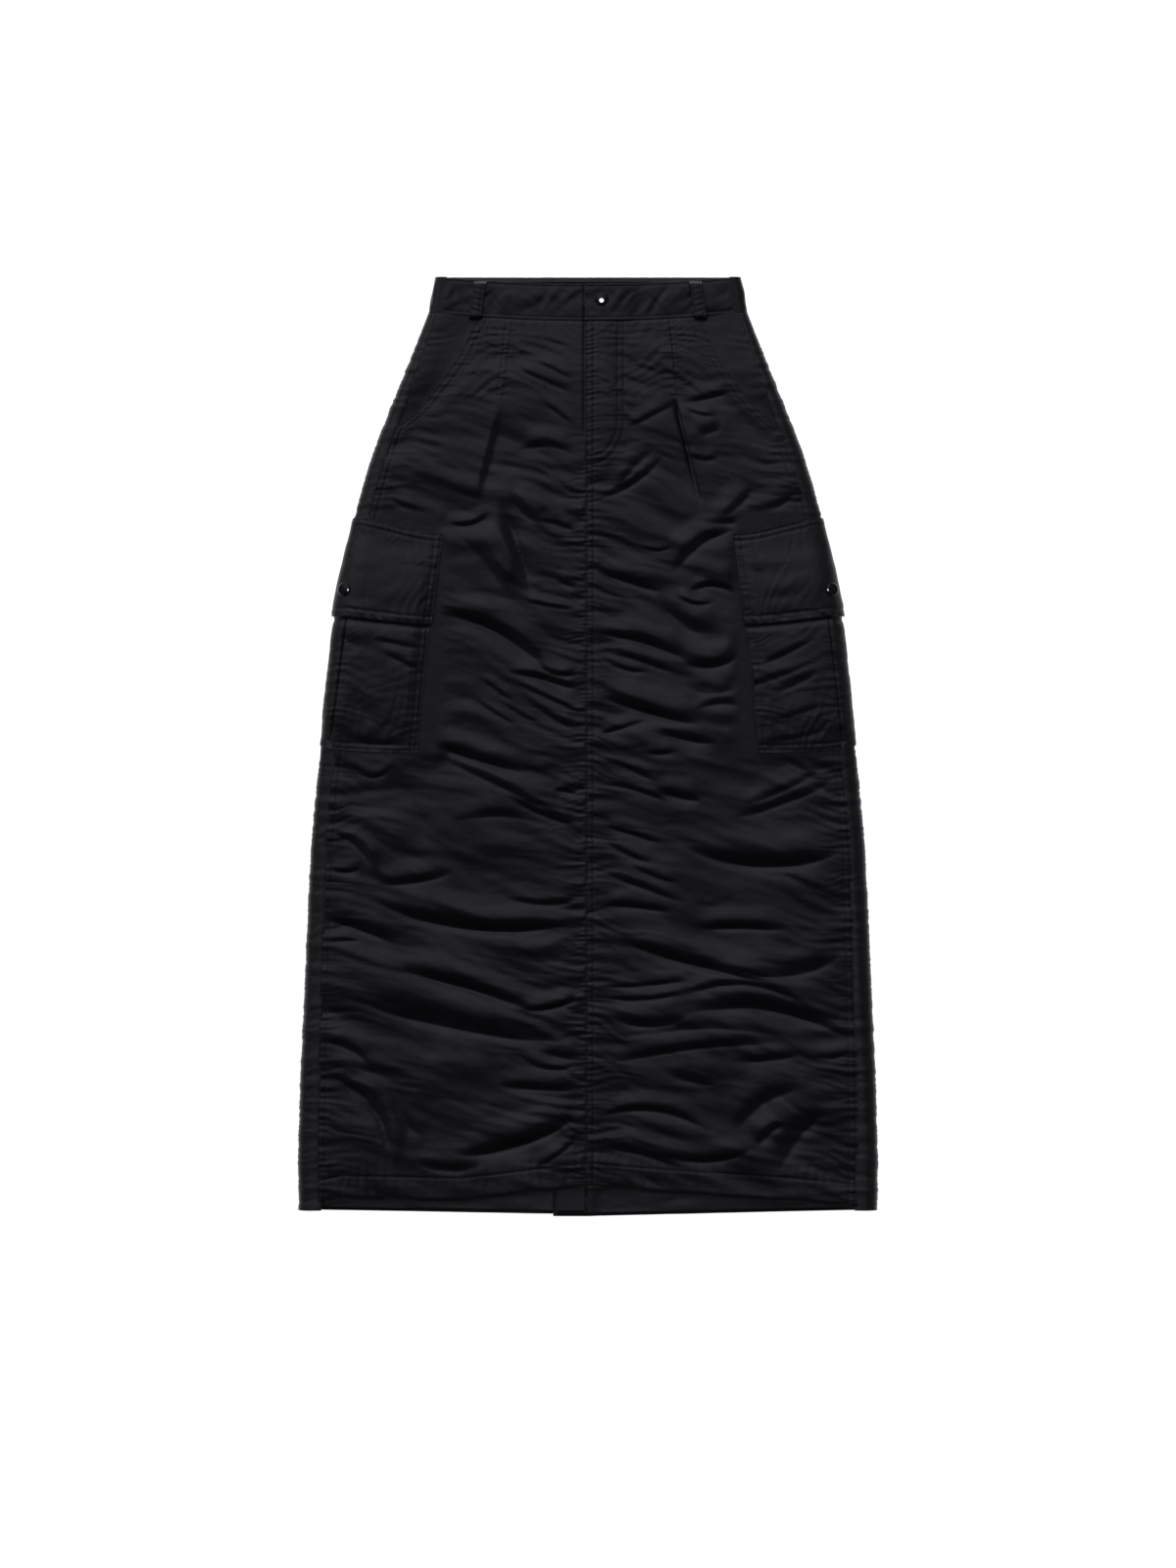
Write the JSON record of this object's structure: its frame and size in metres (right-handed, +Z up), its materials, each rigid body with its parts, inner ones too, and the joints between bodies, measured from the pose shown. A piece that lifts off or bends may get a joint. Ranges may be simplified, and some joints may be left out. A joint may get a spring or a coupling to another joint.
{
  "type": "cargo utility skirt",
  "caption": "Full-length cargo skirt laid flat, with waistband, fly, released pleats, slanted hip pockets, flapped side cargo pockets and an open hem.",
  "frame": {"origin": "middle of the skirt's outline on the surface that it lies on", "axes": "+X across the skirt to its right as seen from above, +Y towards the waist, +Z up out of the front"},
  "size_m": [0.6178, 1, 0.025],
  "materials": {
    "nylon_satin": "soft satin sheen",
    "black_metal": "gloss black"
  },
  "bodies": {
    "root": {"back_left": "nylon_satin", "back_right": "nylon_satin", "front_left": "nylon_satin", "front_right": "nylon_satin", "hip_facing_left": "nylon_satin", "hip_facing_right": "nylon_satin", "waistband_back": "nylon_satin", "waistband_front_left": "nylon_satin", "waistband_front_right": "nylon_satin", "belt_loop_left": "nylon_satin", "belt_loop_right": "nylon_satin", "pocket_left": "nylon_satin", "pocket_right": "nylon_satin", "flap_left": "nylon_satin", "flap_right": "nylon_satin", "snap_waist": "black_metal", "snap_flap_left": "black_metal", "snap_flap_right": "black_metal"}
  },
  "joints": []
}
